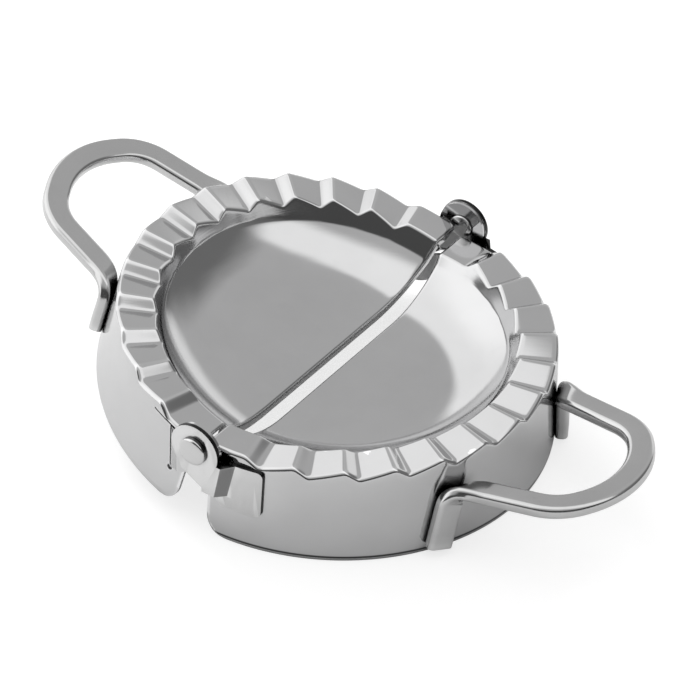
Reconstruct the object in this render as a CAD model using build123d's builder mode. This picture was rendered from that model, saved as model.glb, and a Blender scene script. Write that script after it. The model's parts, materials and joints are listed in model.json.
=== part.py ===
from build123d import *
from math import asin, atan, cos, radians, sin, sqrt, tan
import os

# Folding empanada press: two fluted sheet halves hinged along Y, each with a loop handle.

# Driving dimensions, in millimetres and degrees. X runs across the hinge, Y along it, Z up.
# The origin is on the table under the middle of the hinge line.

# Stamped halves
sheet = 0.7  # stamped stainless sheet
skirt_radius = 47.5  # outside of the skirt at its cutting edge
skirt_taper = 0.9  # how much smaller that radius is at the rim
half_offset = 0.6  # from the hinge line to each half's folded edge
rim_height = 22.0  # mean height of the fluted rim
left_skirt_short = 1.6  # the left skirt is that much shorter than the right one
bowl_height = 12.6  # upper face of the bowl's flat floor
bowl_floor_radius = 20.0
bowl_bend_radius = 25.0  # arc from the floor up to the crease
crease_radius = 36.3  # crease where the bowl turns into the rim wall
rim_inner_radius = 38.3  # inner edge of the rim, at its mean height
edge_rounding = 1.0  # outside of the rim's two pressed edges
cutting_bevel = 0.3  # bevel on the outside of the skirt's edge
cutting_bevel_height = 0.6

# Flutes: ramps that rise along the rim and drop at a steep riser
flute_count = 13
flute_pitch = 12.8  # degrees from one riser to the next
flute_depth = 1.9
riser_angle = 3.5  # degrees that a riser takes
ramp_steps = 2  # sections that make up a ramp
pad_steps = 3  # and one of the two flat pads at the ends

# Folded straight edge
fold_rounding = 0.9  # outside of the fold
lip_depth = 2.6  # from the upper face to the folded lip's edge
skirt_edge_setback = 1.2  # skirt's free edge, from the folded edge
skirt_corner_radius = 5.0

# Hinge
hinge_rise = 0.4  # hinge line above the mean rim: half the gap left for the dough
rest_tilt = 14.0  # degrees that the left half is raised at rest
ear_radius = 5.8
ear_thickness = 0.9
ear_face = 49.5  # outer face of the ear, from the middle of the press
tab_radius = 5.6
hinge_clearance = 0.1  # between tab and ear, and between tab and rivet tail
rivet_diameter = 3.6
rivet_running_clearance = 0.05  # radial, in the tab's hole
rivet_head_diameter = 7.0
rivet_head_height = 1.5
rivet_tail_diameter = 5.4
rivet_tail_height = 0.7

# Welded foot of the ear plate
foot_end = 15.0  # far edge of the foot, from the hinge line
foot_bottom = 9.2
foot_top = 20.6
foot_corner = 1.4
foot_plate_end = 1.9  # edge of the foot below the ear
joggle_start = 7.4  # where the plate leaves the skirt, at joggle_height
joggle_end = 5.5  # where it is flat again
joggle_height = 15.0
joggle_lean = 0.18  # how far the joggle leans out for each millimetre up
ear_corner = 3.3  # corner of the ear's slanted lower edge, on the other side of the hinge line
ear_corner_height = 16.2
ear_edge_height = 13.4  # where that edge reaches the free edge of the foot
foot_edge_height = 12.4

# Hinge tab of the left half, cut out of its skirt
tab_bend = 6.9  # bend line at tab_bend_height, from the hinge line
tab_bend_height = 15.0
tab_bend_lean = 0.3  # how far the bend line leans out for each millimetre up
tab_joggle = 1.8  # length of the offset bend
tab_root = 5.0  # how far the tab's sheet runs back into the skirt
tab_slit = 10.2  # height of the slit's end, below the tab
tab_slit_rise = 2.6  # how much higher the slit is at the skirt's free edge
slit_width = 0.4
slit_hole_diameter = 1.3
tab_relief = 20.2  # top of the tab's root, at the slit under the rim

# Handles, out from the axis of the half that carries them
strip_width = 5.0
strip_thickness = 2.3
strip_edge = 0.9  # rounding of the strip's long edges
handle_height = 16.1  # middle of the strip at the skirt
handle_rise = 0.06  # millimetres up for each millimetre out
handle_tip_corner = 73.0  # where the loop's two sloping sides would meet
handle_shoulder = 64.8
handle_shoulder_half = 16.5
handle_root = 49.8  # where the flat loop ends and the bend down starts
handle_root_half = 18.8
shoulder_bend_radius = 9.0
tip_bend_radius = 22.0
weld_tab_angle = 26.5  # middle of the weld tab's upper end, from the X axis
weld_tab_splay = 2.5  # degrees that its lower end stands further round
weld_tab_top = 12.4
weld_tab_bottom = 5.4
bend_reach = 4.4  # how far the bend runs on from the loop
bend_drop = 2.2  # and how far it comes down to the weld tab
bend_steps = 6  # sections along the bend

# Worked out from the sizes above
crest = rim_height + flute_depth / 2
groove = rim_height - flute_depth / 2
hinge_height = rim_height + hinge_rise
skirt_slope = skirt_taper / rim_height
bowl_sweep = asin((crease_radius - bowl_floor_radius) / bowl_bend_radius)
crease_height = bowl_height + bowl_bend_radius * (1 - cos(bowl_sweep))
wall_angle = atan((rim_height - crease_height) / (rim_inner_radius - crease_radius))
tab_face = ear_face - ear_thickness - hinge_clearance
tail_face = tab_face - sheet - hinge_clearance
excess = 3.0  # what cutting solids reach past the metal
reach = skirt_radius + excess


def skirt_at(height, depth=0.0):
    """Radius of the skirt's outer face, or of a face that lies depth inside it."""
    return skirt_radius - skirt_slope * height - depth


def wall_at(height, depth=0.0):
    """Radius of the wall between crease and rim, on its bowl side or depth behind it."""
    return crease_radius + (height - crease_height) / tan(wall_angle) + depth / sin(wall_angle)


def bowl_outline(depth, top):
    """Bowl and wall from the axis to the given height, depth below the upper face."""
    floor = (bowl_floor_radius, bowl_height - depth)
    bend = (
        bowl_floor_radius + (bowl_bend_radius + depth) * sin(bowl_sweep),
        bowl_height + bowl_bend_radius - (bowl_bend_radius + depth) * cos(bowl_sweep),
    )
    foot = (crease_radius + depth * sin(wall_angle), crease_height - depth * cos(wall_angle))
    Line((0, bowl_height - depth), floor)
    RadiusArc(floor, bend, -(bowl_bend_radius + depth))
    if depth > 0:
        Line(bend, foot)
    Line(foot if depth > 0 else bend, (wall_at(top, depth), top))


def rim_levels():
    """Angle and height of the rim, section by section, from the near end to the far end."""
    first = -flute_pitch * (flute_count - 1) / 2
    pad_start = -90 - riser_angle
    pad_edge = first - riser_angle / 2
    for step in range(pad_steps + 1):
        yield pad_start + (pad_edge - pad_start) * step / pad_steps, crest
    ramp_angle = flute_pitch - riser_angle
    for flute in range(flute_count - 1):
        start = first + flute * flute_pitch + riser_angle / 2
        for step in range(ramp_steps + 1):
            share = step / ramp_steps
            yield start + ramp_angle * share, groove + flute_depth * share
    for step in range(pad_steps + 1):
        yield -pad_edge + (pad_edge - pad_start) * step / pad_steps, groove


def radial_plane(angle):
    across = (cos(radians(angle)), sin(radians(angle)), 0)
    normal = (sin(radians(angle)), -cos(radians(angle)), 0)
    return Plane(origin=(0, 0, 0), x_dir=across, z_dir=normal)


def rim_cutter(depth):
    """All that lies above the rim, with the rounding of its two pressed edges."""
    rounding = edge_rounding - depth
    with BuildPart() as cutter:
        for angle, height in rim_levels():
            level = height - depth
            low = level - 2 * edge_rounding
            inner_top = (wall_at(level, depth), level)
            inner_low = (wall_at(low, depth), low)
            outer_top = (skirt_at(level, depth), level)
            outer_low = (skirt_at(low, depth), low)
            with BuildSketch(radial_plane(angle)):
                with BuildLine():
                    edge = FilletPolyline(
                        inner_low, inner_top, outer_top, outer_low, radius=rounding
                    )
                    Polyline(
                        edge @ 1,
                        (reach, low),
                        (reach, crest + 2 * excess),
                        (crease_radius - excess / 2, crest + 2 * excess),
                        (crease_radius - excess / 2, low),
                        edge @ 0,
                    )
                make_face()
        loft(ruled=True)
    return cutter.part


def pressed_form(depth, floor, cut_plane):
    """The half as a solid block whose top and side lie depth inside the sheet's outer face."""
    top = crest + excess
    cutter = rim_cutter(depth)
    with BuildPart() as form:
        with BuildSketch(Plane.XZ):
            with BuildLine():
                bowl_outline(depth, top)
                Polyline(
                    (wall_at(top, depth), top),
                    (skirt_at(top, depth), top),
                    (skirt_at(floor, depth), floor),
                    (0, floor),
                    (0, bowl_height - depth),
                )
            make_face()
        revolve(axis=Axis.Z)
        add(cutter, mode=Mode.SUBTRACT)
        split(bisect_by=Plane.YZ.offset(cut_plane), keep=Keep.TOP)
    return form.part


def fold_edges(form, plane_at):
    """The upper edge of the cut face: bowl, wall and rim, up to the pressed outer edge."""
    cut_face = form.edges().filter_by_position(Axis.X, plane_at - 0.01, plane_at + 0.01)
    upper = cut_face.filter_by_position(Axis.Z, bowl_height - 2 * sheet, crest + excess)
    return [edge for edge in upper if abs((edge @ 0.5).Y) < skirt_at(crest) - 2 * edge_rounding]


def folded_form(depth, floor, cut_plane):
    """The pressed form with its straight edge rounded over."""
    block = pressed_form(depth, floor, cut_plane)
    with BuildPart() as form:
        add(block)
        fillet(fold_edges(form, cut_plane), fold_rounding - depth)
    return form.part


def stamping():
    """One half as stamped: cut edge in the plane x = 0, opening to the side of +X."""
    outer = folded_form(0, -excess, 0)
    inner = folded_form(sheet, -2 * excess, sheet)
    with BuildPart() as half:
        add(outer)
        add(inner, mode=Mode.SUBTRACT)
        for angle, level in ((-90, crest), (90, groove)):
            # What lies under the folded lip is open, and the skirt's edge stands back
            with BuildSketch(radial_plane(angle)):
                with BuildLine():
                    bowl_outline(lip_depth, level - lip_depth)
                    Polyline(
                        (wall_at(level - lip_depth, lip_depth), level - lip_depth),
                        (reach, level - lip_depth),
                        (reach, -2 * excess),
                        (0, -2 * excess),
                        (0, bowl_height - lip_depth),
                    )
                make_face()
            extrude(amount=skirt_edge_setback, both=True, mode=Mode.SUBTRACT)
    return half.part


def trimmed_half(blank, bottom):
    """A stamping with its skirt cut to length, its cutting edge bevelled and its corners round."""
    corner = skirt_edge_setback + skirt_corner_radius
    bevel_run = reach - skirt_radius + cutting_bevel
    with BuildPart() as half:
        add(blank)
        with BuildSketch(Plane.XZ):
            with BuildLine():
                Polyline(
                    (0, bottom),
                    (skirt_at(bottom) - cutting_bevel, bottom),
                    (reach, bottom + bevel_run * cutting_bevel_height / cutting_bevel),
                    (reach, -2 * excess),
                    (0, -2 * excess),
                    close=True,
                )
            make_face()
        revolve(axis=Axis.Z, mode=Mode.SUBTRACT)
        with BuildSketch(Plane.XZ):
            with BuildLine():
                Line((-excess, bottom - excess), (corner, bottom - excess))
                Line((corner, bottom - excess), (corner, bottom))
                RadiusArc(
                    (corner, bottom), (skirt_edge_setback, bottom + skirt_corner_radius),
                    skirt_corner_radius,
                )
                Polyline(
                    (skirt_edge_setback, bottom + skirt_corner_radius),
                    (-excess, bottom + skirt_corner_radius),
                    (-excess, bottom - excess),
                )
            make_face()
        extrude(amount=reach, both=True, mode=Mode.SUBTRACT)
    return half.part


def on_skirt(across, height, depth=0.0):
    """Distance from the X axis to the skirt's face, at a given distance across from the half's axis."""
    return sqrt(skirt_at(height, depth) ** 2 - across**2)


def bend_line(height):
    """Where the hinge tab leaves the skirt, out from the axis of the left half."""
    return tab_bend + tab_bend_lean * (height - tab_bend_height) - half_offset


def hinge_tab(side):
    """Sheet of the tab: in the skirt at its root, then offset out to run flat inside the ear."""
    low = tab_slit + slit_width
    high = hinge_height + tab_radius
    bite = sheet / 10
    with BuildPart() as sheet_strip:
        for height in (low - excess, high + excess):
            bend = bend_line(height)
            root = bend + tab_root
            with BuildSketch(Plane.XY.offset(height)):
                with BuildLine():
                    Polyline(
                        (root, side * on_skirt(root, height, bite)),
                        (bend, side * on_skirt(bend, height, bite)),
                        (bend - tab_joggle, side * tab_face),
                        (-half_offset - tab_radius - excess, side * tab_face),
                    )
                    offset(amount=sheet, side=Side.RIGHT if side < 0 else Side.LEFT)
                make_face()
        loft(ruled=True)
    root = bend_line(low) + tab_root
    slit_edge = (skirt_edge_setback, low + tab_slit_rise)
    with BuildPart() as tab:
        with BuildSketch(Plane.XZ):
            with BuildLine():
                Polyline(
                    (root, low),
                    (bend_line(low), low),
                    slit_edge,
                    (-half_offset - tab_radius * 0.8, hinge_height - tab_radius * 0.6),
                    (-half_offset, tab_relief),
                    (root, tab_relief),
                    close=True,
                )
            make_face()
            with Locations((-half_offset, hinge_height)):
                Circle(tab_radius)
                Circle(rivet_diameter / 2 + rivet_running_clearance, mode=Mode.SUBTRACT)
        extrude(amount=-side * reach)
        add(sheet_strip.part, mode=Mode.INTERSECT)
    return tab.part


def tab_window():
    """What is cut from the left skirt round its two hinge tabs, with the slit above and below."""
    top = tab_relief + slit_width
    with BuildPart() as window:
        with BuildSketch(Plane.XZ):
            with BuildLine():
                Polyline(
                    (bend_line(tab_slit), tab_slit),
                    (skirt_edge_setback, tab_slit + tab_slit_rise),
                    (-excess, tab_slit + tab_slit_rise),
                    (-excess, top),
                    (bend_line(top) + tab_root, top),
                    (bend_line(top) + tab_root, tab_relief),
                    (bend_line(tab_relief), tab_relief),
                    close=True,
                )
            make_face()
            with Locations((bend_line(tab_slit), tab_slit)):
                Circle(slit_hole_diameter / 2)
        extrude(amount=reach, both=True)
        with BuildSketch(Plane.XY):
            Rectangle(2 * reach, 2 * rim_inner_radius)
        extrude(amount=2 * reach, mode=Mode.SUBTRACT)
    return window.part


def ear_joggle(height):
    """Where the ear plate leaves the skirt, out from the hinge line."""
    return joggle_lean * (height - joggle_height)


def ear_plate(side):
    """Ear, joggle and welded foot as one piece of sheet, lying on the right skirt."""
    low = foot_edge_height
    face = ear_thickness
    with BuildPart() as flat_sheet:
        for height in (low - excess, hinge_height + ear_radius + excess):
            start = joggle_start + ear_joggle(height)
            root = start + face
            with BuildSketch(Plane.XY.offset(height)):
                with BuildLine():
                    Polyline(
                        (root, side * on_skirt(root - half_offset, height, -face)),
                        (start, side * on_skirt(start - half_offset, height, -face)),
                        (joggle_end + ear_joggle(height), side * ear_face),
                        (-ear_radius - excess, side * ear_face),
                    )
                    offset(amount=face, side=Side.RIGHT if side < 0 else Side.LEFT)
                make_face()
        loft(ruled=True)
    with BuildPart() as ear:
        with BuildSketch(Plane.XZ):
            with BuildLine():
                Polyline(
                    (-ear_corner, ear_corner_height),
                    (foot_plate_end, ear_edge_height),
                    (foot_plate_end, low),
                    (foot_end, low),
                    (foot_end, foot_top),
                    (-ear_radius * 0.8, foot_top),
                    close=True,
                )
            make_face()
            with Locations((0, hinge_height)):
                Circle(ear_radius)
                Circle(rivet_diameter / 2, mode=Mode.SUBTRACT)
        extrude(amount=-side * (ear_face + excess))
        add(flat_sheet.part, mode=Mode.INTERSECT)
    with BuildPart() as foot:
        with BuildSketch(Plane.XZ):
            with BuildLine():
                Polyline(
                    (skirt_at(foot_bottom - face), foot_bottom - face),
                    (skirt_at(foot_top + face), foot_top + face),
                    (skirt_at(foot_top + face, -face), foot_top + face),
                    (skirt_at(foot_bottom - face, -face), foot_bottom - face),
                    close=True,
                )
            make_face()
        revolve(axis=Axis.Z)
        with BuildSketch(Plane.XZ) as outline:
            with BuildLine():
                Polyline(
                    (joggle_end - half_offset, foot_bottom),
                    (foot_end - half_offset, foot_bottom),
                    (foot_end - half_offset, foot_top),
                    (joggle_start + ear_joggle(foot_top) - half_offset, foot_top),
                    (joggle_start + ear_joggle(low) - half_offset, low),
                    (foot_plate_end + face - half_offset, low),
                    close=True,
                )
            make_face()
            fillet(outline.vertices().group_by(Axis.X)[-1], foot_corner)
        extrude(amount=-side * reach, mode=Mode.INTERSECT)
    with BuildPart() as skirt:
        with BuildSketch(Plane.XZ):
            Polygon(
                (0, 0), (skirt_at(0), 0), (skirt_at(crest + excess), crest + excess),
                (0, crest + excess), align=None,
            )
        revolve(axis=Axis.Z)
    with BuildPart() as plate:
        add(foot.part.moved(Location((half_offset, 0, 0))))
        add(ear.part)
        add(skirt.part.moved(Location((half_offset, 0, 0))), mode=Mode.SUBTRACT)
    return plate.part


def dome_radius(half_width, height):
    """Radius of a low dome that is centred on its axis."""
    return (half_width**2 + height**2) / (2 * height)


def hinge_rivet(side):
    """Head outside the ear, shank through ear and tab, and the tail closed over the tab."""
    head = rivet_head_diameter / 2
    dome = rivet_head_height / 2
    tail = rivet_tail_diameter / 2
    tail_dome = rivet_tail_height / 2
    shank = rivet_diameter / 2
    head_rim = ear_face + rivet_head_height - dome
    tail_rim = tail_face - rivet_tail_height + tail_dome
    with BuildPart() as rivet:
        with BuildSketch(Plane(origin=(0, 0, hinge_height), x_dir=(1, 0, 0), z_dir=(0, 0, side))):
            with BuildLine():
                RadiusArc((head, head_rim), (0, head_rim + dome), -dome_radius(head, dome))
                Line((0, head_rim + dome), (0, tail_rim - tail_dome))
                RadiusArc(
                    (0, tail_rim - tail_dome), (tail, tail_rim), -dome_radius(tail, tail_dome)
                )
                Polyline(
                    (tail, tail_rim),
                    (tail, tail_face),
                    (shank, tail_face),
                    (shank, ear_face),
                    (head, ear_face),
                    (head, head_rim),
                )
            make_face()
        revolve(axis=Axis((0, 0, hinge_height), (0, 1, 0)))
    return rivet.part


def strip_section(centre, along, upper):
    """Plane across the handle's strip, whose Y axis points out of the strip's upper face."""
    width = upper.cross(along)
    return Plane(origin=centre, x_dir=width, z_dir=along)


def weld_tab_point(side, angle, height):
    """Middle of the weld tab's strip, and the direction out of the skirt there."""
    outward = Vector(cos(radians(angle)), side * sin(radians(angle)), 0)
    return outward * (skirt_at(height) + strip_thickness / 2) + Vector(0, 0, height), outward


def loop_handle():
    """Flat strip: loop in a slightly rising plane, legs bent down to weld tabs on the skirt."""
    rise_length = sqrt(1 + handle_rise**2)
    along_plane = Vector(1 / rise_length, 0, handle_rise / rise_length)
    up_plane = Vector(-handle_rise / rise_length, 0, 1 / rise_length)
    start_height = handle_height - handle_rise * skirt_radius
    plane = Plane(origin=(0, 0, start_height), x_dir=along_plane, z_dir=up_plane)
    with BuildPart() as handle:
        with BuildSketch(plane):
            with BuildLine() as loop:
                FilletPolyline(
                    (handle_root, -handle_root_half),
                    (handle_shoulder, -handle_shoulder_half),
                    (handle_tip_corner, 0),
                    (handle_shoulder, handle_shoulder_half),
                    (handle_root, handle_root_half),
                    radius=(shoulder_bend_radius, tip_bend_radius, shoulder_bend_radius),
                )
            trace(line_width=strip_width)
        extrude(amount=strip_thickness / 2, both=True)
        flat_faces = handle.faces().sort_by(SortBy.AREA)[-2:]
        long_edges = flat_faces.edges().filter_by(lambda edge: abs(edge.length - strip_width) > 0.01)
        fillet(long_edges, strip_edge)
    path = plane * loop.wires()[0]
    parts = [handle.part]
    for side, root, inward in ((-1, path @ 0, path % 0 * -1), (1, path @ 1, path % 1)):
        top, outward = weld_tab_point(side, weld_tab_angle, weld_tab_top)
        foot, foot_outward = weld_tab_point(side, weld_tab_angle + weld_tab_splay, weld_tab_bottom)
        down = (foot - top).normalized()
        bend = Bezier(root, root + inward * bend_reach, top - down * bend_drop, top)
        with BuildPart() as leg:
            for step in range(bend_steps):
                share = step / (bend_steps - 1)
                upper = up_plane * (1 - share) - outward * share
                along = bend % share
                upper = (upper - along * upper.dot(along)).normalized()
                with BuildSketch(strip_section(bend @ share, along, upper)):
                    RectangleRounded(strip_width, strip_thickness, strip_edge)
            upper = (-foot_outward + down * foot_outward.dot(down)).normalized()
            with BuildSketch(strip_section(foot, down, upper)):
                RectangleRounded(strip_width, strip_thickness, strip_edge)
            loft(ruled=True)
        parts.append(leg.part)
    return parts


# Placing: each half is drawn from its own axis, and the left one is turned round and raised
right_place = Location((half_offset, 0, 0))
left_level = Location((-half_offset, 0, 0)) * Rotation(0, 0, 180)
hinge_line = Location((0, 0, hinge_height))
left_place = hinge_line * Rotation(0, rest_tilt, 0) * hinge_line.inverse() * left_level

blank = stamping()
right_half = trimmed_half(blank, 0)
left_half = trimmed_half(blank, left_skirt_short)
window = tab_window()
tabs = [hinge_tab(side) for side in (-1, 1)]
handle_parts = loop_handle()

with BuildPart() as right_shell:
    add(right_half.moved(right_place))

with BuildPart() as left_shell_level:
    add(left_half)
    add(window, mode=Mode.SUBTRACT)
    add(tabs)

with BuildPart() as left_shell:
    add(left_shell_level.part.moved(left_place))

# The skirt as a solid cone, so that each weld tab is ground to the face it sits on
with BuildPart() as skirt_block:
    with BuildSketch(Plane.XZ):
        Polygon(
            (0, -excess), (skirt_at(-excess), -excess), (skirt_at(crest), crest), (0, crest),
            align=None,
        )
    revolve(axis=Axis.Z)

with BuildPart() as handle:
    add(handle_parts)
    add(skirt_block.part, mode=Mode.SUBTRACT)

with BuildPart() as right_handle:
    add(handle.part.moved(right_place))

with BuildPart() as left_handle:
    add(handle.part.moved(left_place))

with BuildPart() as near_ear_plate:
    add(ear_plate(-1))

with BuildPart() as far_ear_plate:
    add(ear_plate(1))

with BuildPart() as near_rivet:
    add(hinge_rivet(-1))

with BuildPart() as far_rivet:
    add(hinge_rivet(1))

os.makedirs("parts", exist_ok=True)
pieces = {
    "right_shell": right_shell,
    "left_shell": left_shell,
    "near_ear_plate": near_ear_plate,
    "far_ear_plate": far_ear_plate,
    "near_rivet": near_rivet,
    "far_rivet": far_rivet,
    "right_handle": right_handle,
    "left_handle": left_handle,
}
for name, piece in pieces.items():
    piece.part.label = name
    export_step(piece.part, f"parts/{name}.step")
    print(name, round(piece.part.volume, 1), "mm3")
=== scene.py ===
import bmesh
import bpy
import json
import math
from mathutils import Matrix, Vector


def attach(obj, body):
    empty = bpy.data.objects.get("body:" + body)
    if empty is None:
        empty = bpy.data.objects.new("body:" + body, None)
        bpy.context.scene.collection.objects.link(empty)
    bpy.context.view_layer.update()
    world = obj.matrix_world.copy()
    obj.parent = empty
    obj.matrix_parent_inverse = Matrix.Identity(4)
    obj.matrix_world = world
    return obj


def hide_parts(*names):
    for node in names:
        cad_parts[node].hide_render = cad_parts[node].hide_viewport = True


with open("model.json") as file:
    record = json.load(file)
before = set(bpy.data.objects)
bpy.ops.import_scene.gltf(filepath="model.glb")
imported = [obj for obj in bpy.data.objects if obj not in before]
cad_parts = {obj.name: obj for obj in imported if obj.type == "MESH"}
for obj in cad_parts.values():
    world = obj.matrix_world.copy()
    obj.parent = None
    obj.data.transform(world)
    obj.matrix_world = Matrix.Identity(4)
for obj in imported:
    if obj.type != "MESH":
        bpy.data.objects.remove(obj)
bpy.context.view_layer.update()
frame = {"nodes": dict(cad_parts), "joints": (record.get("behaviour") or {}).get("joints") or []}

mm = 0.001
hingeHeight = frame["joints"][0]["pos_m"][2]
restTilt = math.radians(-frame["joints"][0]["range_deg"][0])  # the left half stands up that much at rest
tiny = 1e-7
noCut = 20 * mm  # "cut" on a point that no cutting edge is near
overrun = 3 * mm  # how far a cutter stands past what it cuts
print("frame loaded")


# Node trees that shape geometry

def addNode(tree, kind, values=None, **settings):
    node = tree.nodes.new(kind)
    for name, value in settings.items():
        setattr(node, name, value)
    for socket, value in (values or {}).items():
        if isinstance(value, bpy.types.NodeSocket):
            tree.links.new(value, node.inputs[socket])
        else:
            node.inputs[socket].default_value = value
    return node


def calc(tree, operation, a, b=0.0, c=0.0):
    # One math node, returning its output
    return addNode(tree, "ShaderNodeMath", {0: a, 1: b, 2: c}, operation=operation).outputs[0]


def vectorCalc(tree, operation, a, b):
    # The same for vectors, where a scale's b is a number
    second = "Scale" if operation == "SCALE" else 1
    return addNode(tree, "ShaderNodeVectorMath", {0: a, second: b}, operation=operation).outputs[0]


def named(tree, label, kind="FLOAT"):
    return addNode(tree, "GeometryNodeInputNamedAttribute", {0: label}, data_type=kind).outputs[0]


def shapeTree(name, inputs):
    tree = bpy.data.node_groups.new(name, "GeometryNodeTree")
    tree.interface.new_socket("Geometry", in_out="INPUT", socket_type="NodeSocketGeometry")
    for label, kind in inputs:
        tree.interface.new_socket(label, in_out="INPUT", socket_type="NodeSocket" + kind)
    tree.interface.new_socket("Material", in_out="INPUT", socket_type="NodeSocketMaterial")
    tree.interface.new_socket("Geometry", in_out="OUTPUT", socket_type="NodeSocketGeometry")
    return tree, addNode(tree, "NodeGroupInput")


def endTree(tree, source, geometry):
    # Every tree ends in real geometry with its material
    real = addNode(tree, "GeometryNodeRealizeInstances", {0: geometry}).outputs[0]
    painted = addNode(tree, "GeometryNodeSetMaterial", {0: real, "Material": source.outputs["Material"]})
    addNode(tree, "NodeGroupOutput", {0: painted.outputs[0]})
    return tree


def useTree(piece, tree, values):
    modifier = piece.modifiers.new(tree.name, "NODES")
    modifier.node_group = tree
    for item in tree.interface.items_tree:
        if item.in_out == "INPUT" and item.name in values:
            modifier[item.identifier] = values[item.name]


def settle(piece):
    # The evaluated piece as a plain mesh
    graph = bpy.context.evaluated_depsgraph_get()
    made = bpy.data.meshes.new_from_object(piece.evaluated_get(graph))
    piece.modifiers.clear()
    piece.data = made


def newPiece(name, mesh):
    piece = bpy.data.objects.new(name, mesh)
    bpy.context.scene.collection.objects.link(piece)
    return piece


def meshFrom(name, points, faces=(), edges=()):
    mesh = bpy.data.meshes.new(name)
    mesh.from_pydata([tuple(point) for point in points], edges, faces)
    mesh.update()
    return mesh


def setVectors(mesh, label, vectors):
    made = mesh.attributes.new(label, "FLOAT_VECTOR", "POINT")
    made.data.foreach_set("vector", [number for vector in vectors for number in vector])


def smoothShaded(mesh, sharpAbove):
    mesh.polygons.foreach_set("use_smooth", [True] * len(mesh.polygons))
    mesh.set_sharp_from_angle(angle=math.radians(sharpAbove))
    mesh.update()


def joinedEnds(name, firstEnd, lastEnd):
    # Closed block between two outlines with as many points
    form = bmesh.new()
    ends = [[form.verts.new(point) for point in end] for end in (firstEnd, lastEnd)]
    form.faces.new(ends[0])
    form.faces.new(ends[1])
    for step, corner in enumerate(ends[0]):
        after = (step + 1) % len(ends[0])
        form.faces.new((corner, ends[0][after], ends[1][after], ends[1][step]))
    return closedPiece(name, form)


def closedPiece(name, form):
    # A piece from a bmesh, with its faces turned outwards
    bmesh.ops.recalc_face_normals(form, faces=form.faces)
    mesh = bpy.data.meshes.new(name)
    form.to_mesh(mesh)
    form.free()
    return newPiece(name, mesh)


def prism(name, outline, low, high):
    # Closed block with an outline in X and Z, from y = low to y = high
    return joinedEnds(name, *[[(x, y, z) for x, z in outline] for y in (low, high)])


def boolean(piece, cutter, operation="DIFFERENCE"):
    modifier = piece.modifiers.new(cutter.name, "BOOLEAN")
    modifier.operation = operation
    modifier.solver = "EXACT"
    modifier.object = cutter


def arc(centre, radius, start, end, steps):
    # Points along an arc in a plane, angles in degrees
    made = []
    for step in range(steps + 1):
        angle = math.radians(start + (end - start) * step / steps)
        made.append((centre[0] + radius * math.cos(angle), centre[1] + radius * math.sin(angle)))
    return made


def circle(centre, radius, points):
    # An arc all the way round, without its first point twice
    return arc(centre, radius, 0, 360 - 360 / points, points - 1)


def filletedLine(corners, radii, arcSteps, straightStep):
    # A line through corners with its inner corners rounded, as closely spaced points
    corners = [Vector(corner) for corner in corners]
    knots = [corners[0]]
    for before, corner, after, radius in zip(corners, corners[1:], corners[2:], radii):
        into = (before - corner).normalized()
        out = (after - corner).normalized()
        opening = into.angle(out)
        reach = radius / math.tan(opening / 2)
        centre = corner + (into + out).normalized() * radius / math.sin(opening / 2)
        start = corner + into * reach - centre
        end = corner + out * reach - centre
        turn = start.angle(end)
        for step in range(arcSteps + 1):
            share = step / arcSteps
            first = math.sin((1 - share) * turn) / math.sin(turn)
            last = math.sin(share * turn) / math.sin(turn)
            knots.append(centre + start * first + end * last)
    knots.append(corners[-1])
    made = [knots[0]]
    for before, after in zip(knots, knots[1:]):
        steps = max(1, round((after - before).length / straightStep))
        for step in range(1, steps + 1):
            made.append(before.lerp(after, step / steps))
    return made


# The stamped halves, each drawn from its own axis with its straight edge at x = 0
half = {
    "sheet": 0.7 * mm,
    "axisOffset": 0.6 * mm,  # from the hinge line to each straight edge
    "rimHeight": 22.0 * mm,  # mean height of the flutes
    "skirtRadius": 47.5 * mm,  # at the cutting edge
    "skirtSlope": 0.9 / 22.0,  # radius lost per height
    "leftSkirtShort": 1.6 * mm,
    "bowlHeight": 12.6 * mm,
    "floorRadius": 20.0 * mm,
    "bowlBend": 25.0 * mm,
    "creaseRadius": 36.3 * mm,
    "creaseBlend": 0.7 * mm,
    "rimInner": 38.3 * mm,
    "edgeRounding": 1.0 * mm,
    "foldRounding": 0.9 * mm,
    "foldFrom": 1.9 * mm,  # nearer to the straight edge than this, points follow the fold
    "lipDepth": 2.6 * mm,
    "lipDepthAtCorner": 0.95 * mm,
    "lipTaperFrom": 1.0 * mm,  # in from the skirt, where the lip starts to deepen
    "lipTaper": 2.4 * mm,
    "skirtSetback": 1.2 * mm,
    "skirtCorner": 5.0 * mm,
    # Rise above the cutting edge, and how far the ground bevel goes in there
    "edgeProfile": [
        (2.2 * mm, 0.0), (1.7 * mm, 0.0), (1.25 * mm, 0.0), (1.0 * mm, 0.03 * mm), (0.8 * mm, 0.08 * mm),
        (0.62 * mm, 0.1 * mm), (0.45 * mm, 0.14 * mm), (0.2 * mm, 0.24 * mm), (0.0, 0.3 * mm),
    ],
    # How finely each stretch is divided
    "bendSteps": 25,
    "creaseSteps": 4,
    "roundingSteps": 7,
    "rimStep": 0.55 * mm,
    "foldSteps": 8,
    "lipSteps": 3,
    "stepsAround": 280,
    "floorStrips": 40,
    "skirtLevels": 22,
    "cornerSteps": 16,
}


def place(side):
    # Where a half goes: the right one level, the left one turned round and raised about the hinge
    if side == "right":
        return Matrix.Translation((half["axisOffset"], 0, 0))
    about = Matrix.Translation((0, 0, hingeHeight))
    level = Matrix.Translation((-half["axisOffset"], 0, 0)) @ Matrix.Rotation(math.pi, 4, "Z")
    return about @ Matrix.Rotation(restTilt, 4, "Y") @ about.inverted() @ level


# Profile of a half, from the bowl's floor out to the rim and down the skirt

def skirtAt(height):
    return half["skirtRadius"] - half["skirtSlope"] * height


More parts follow.
